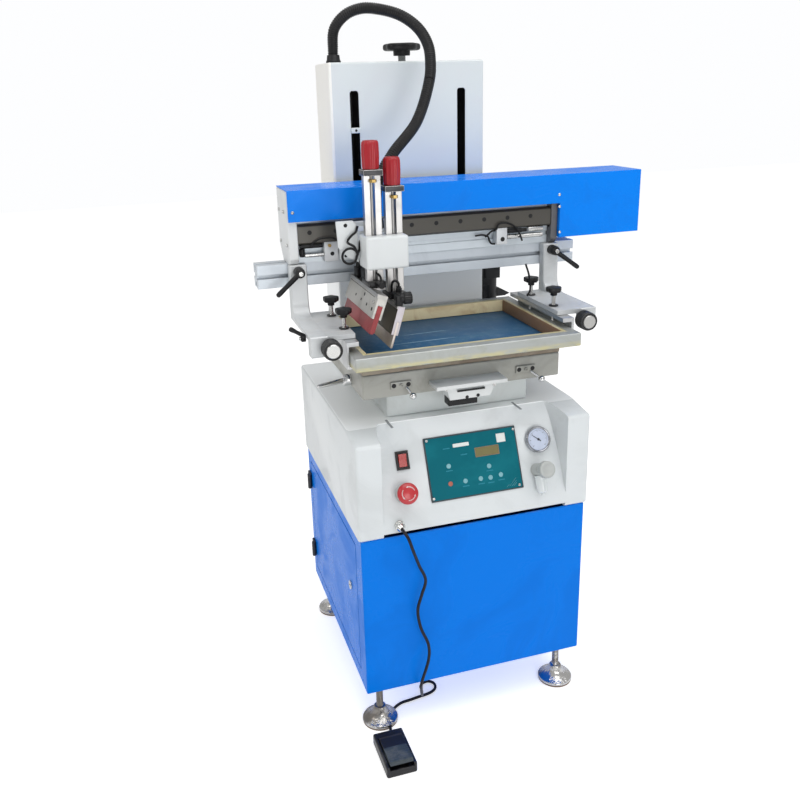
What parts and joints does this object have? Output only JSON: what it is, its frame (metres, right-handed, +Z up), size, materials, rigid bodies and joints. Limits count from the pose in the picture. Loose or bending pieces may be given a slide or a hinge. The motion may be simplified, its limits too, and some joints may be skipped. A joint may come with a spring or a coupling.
{
  "type": "flat-bed screen printing machine",
  "caption": "Floor-standing flat-bed screen printer: blue steel cabinet on levelling feet, white control deck, print bed, slotted column and a lifting head with screen, squeegee and flood bar.",
  "frame": {"origin": "middle of the machine's footprint at floor level, measured without the pedal and its cord", "axes": "+Z up; the control face and the pedal are towards -Y; +X is the operator's right"},
  "size_m": [0.812, 0.608, 1.384],
  "materials": {
    "blue_paint": "satin powder coat",
    "white_paint": "satin paint",
    "cast_aluminium": "pale cast and painted",
    "aluminium": "anodised",
    "steel": "brushed",
    "chrome": "polished",
    "dark_plate": "dark grey",
    "black_plastic": "moulded",
    "black_rubber": "matt",
    "red_plastic": "glossy",
    "red_urethane": "cast urethane",
    "teal_overlay": "printed film",
    "screen_cloth": "coated polyester mesh",
    "grey_plastic": "moulded",
    "bed_plate": "worn plate"
  },
  "bodies": {
    "machine": {"air_filter": "black_plastic", "bed_box": "white_paint", "bed_handle": "chrome", "bed_pedestal": "white_paint", "bed_top": "bed_plate", "cabinet_shell": "blue_paint", "column": "white_paint", "control_panel": "teal_overlay", "cord_gland": "chrome", "deck": "white_paint", "door_hinge_lower": "black_plastic", "door_hinge_upper": "black_plastic", "foot_front_left": "steel", "foot_front_right": "steel", "foot_rear_left": "steel", "foot_rear_right": "steel", "hose_upper": "black_rubber", "pedal_base": "black_plastic", "pedal_cord": "black_rubber", "register_block": "cast_aluminium", "regulator_body": "grey_plastic", "rocker_frame": "black_plastic", "stop_collar": "grey_plastic", "vacuum_gauge": "chrome"},
    "door": {"cabinet_door": "blue_paint", "door_lock": "chrome"},
    "rocker": {"rocker_switch": "red_plastic"},
    "stop": {"stop_button": "red_plastic"},
    "regulator": {"regulator_knob": "grey_plastic"},
    "top_knob": {"column_knob": "black_plastic"},
    "treadle": {"pedal_treadle": "grey_plastic"},
    "head": {"beam": "aluminium", "end_plate_left": "white_paint", "end_plate_right": "dark_plate", "beam_cover": "blue_paint", "lift_bracket": "dark_plate", "frame_rail": "aluminium", "arm_left": "cast_aluminium", "arm_right": "cast_aluminium", "screen_channel_left": "aluminium", "screen_channel_right": "aluminium", "screen_frame": "aluminium", "screen_mesh": "screen_cloth"},
    "carriage": {"carriage_plate": "cast_aluminium", "carriage_cover": "white_paint", "hose_lower": "black_rubber"},
    "squeegee": {"squeegee_slide": "aluminium", "squeegee_knob": "red_plastic", "squeegee_blade": "red_urethane"},
    "flood": {"flood_slide": "aluminium", "flood_knob": "red_plastic", "flood_blade": "steel"},
    "lever_left": {"lever_left": "black_plastic"},
    "dial_left": {"dial_left": "black_plastic"},
    "front_knob_left": {"front_knob_left": "black_plastic"},
    "rear_knob_left": {"rear_knob_left": "black_plastic"},
    "lever_right": {"lever_right": "black_plastic"},
    "dial_right": {"dial_right": "black_plastic"},
    "front_knob_right": {"front_knob_right": "black_plastic"},
    "rear_knob_right": {"rear_knob_right": "black_plastic"}
  },
  "joints": [
    {"name": "door_hinge", "type": "hinge", "parent": "machine", "child": "door", "pos_m": [-0.2965, 0.22634, 0.263], "axis": [0, 0, -1], "range_deg": [0, 110]},
    {"name": "rocker_tilt", "type": "hinge", "parent": "machine", "child": "rocker", "pos_m": [-0.1945, -0.18446, 0.56439], "axis": [-1, 0, 0], "range_deg": [0, 14]},
    {"name": "stop_press", "type": "slide", "parent": "machine", "child": "stop", "axis": [0, 0.9152, -0.4031], "range_m": [0, 0.004], "stiffness_N_per_m": 600, "springref_m": -0.001},
    {"name": "regulator_turn", "type": "hinge", "parent": "machine", "child": "regulator", "pos_m": [0.071, -0.20599, 0.51105], "axis": [0, -0.9152, 0.4031], "continuous": true},
    {"name": "top_knob_turn", "type": "hinge", "parent": "machine", "child": "top_knob", "pos_m": [-0.054, 0.19884, 1.2747], "axis": [0, 0, 1], "continuous": true},
    {"name": "treadle_press", "type": "hinge", "parent": "machine", "child": "treadle", "pos_m": [-0.261, -0.27415, 0.0165], "axis": [1, 0, 0], "range_deg": [0, 7], "stiffness_Nm_per_rad": 3, "springref_deg": -5.73},
    {"name": "head_lift", "type": "slide", "parent": "machine", "child": "head", "axis": [0, 0, 1], "range_m": [0, 0.12], "deforming": ["hose_upper"]},
    {"name": "carriage_travel", "type": "slide", "parent": "head", "child": "carriage", "axis": [1, 0, 0], "range_m": [0, 0.2], "deforming": ["hose_lower"]},
    {"name": "squeegee_lower", "type": "slide", "parent": "carriage", "child": "squeegee", "axis": [0, 0, -1], "range_m": [0, 0.012]},
    {"name": "flood_raise", "type": "slide", "parent": "carriage", "child": "flood", "axis": [0, 0, 1], "range_m": [0, 0.01]},
    {"name": "lever_turn_left", "type": "hinge", "parent": "head", "child": "lever_left", "pos_m": [-0.3295, 0.02155, 0.8945], "axis": [0, 1, 0], "range_deg": [0, 90]},
    {"name": "dial_turn_left", "type": "hinge", "parent": "head", "child": "dial_left", "pos_m": [-0.3125, -0.14145, 0.788], "axis": [0, -1, 0], "continuous": true},
    {"name": "front_knob_turn_left", "type": "hinge", "parent": "head", "child": "front_knob_left", "pos_m": [-0.274, -0.10115, 0.807], "axis": [0, 0, 1], "continuous": true},
    {"name": "rear_knob_turn_left", "type": "hinge", "parent": "head", "child": "rear_knob_left", "pos_m": [-0.274, -0.00115, 0.807], "axis": [0, 0, 1], "continuous": true},
    {"name": "lever_turn_right", "type": "hinge", "parent": "head", "child": "lever_right", "pos_m": [0.2075, 0.02155, 0.8945], "axis": [0, -1, 0], "range_deg": [0, 90]},
    {"name": "dial_turn_right", "type": "hinge", "parent": "head", "child": "dial_right", "pos_m": [0.1905, -0.14145, 0.788], "axis": [0, -1, 0], "continuous": true},
    {"name": "front_knob_turn_right", "type": "hinge", "parent": "head", "child": "front_knob_right", "pos_m": [0.152, -0.10115, 0.807], "axis": [0, 0, 1], "continuous": true},
    {"name": "rear_knob_turn_right", "type": "hinge", "parent": "head", "child": "rear_knob_right", "pos_m": [0.152, -0.00115, 0.807], "axis": [0, 0, 1], "continuous": true}
  ]
}
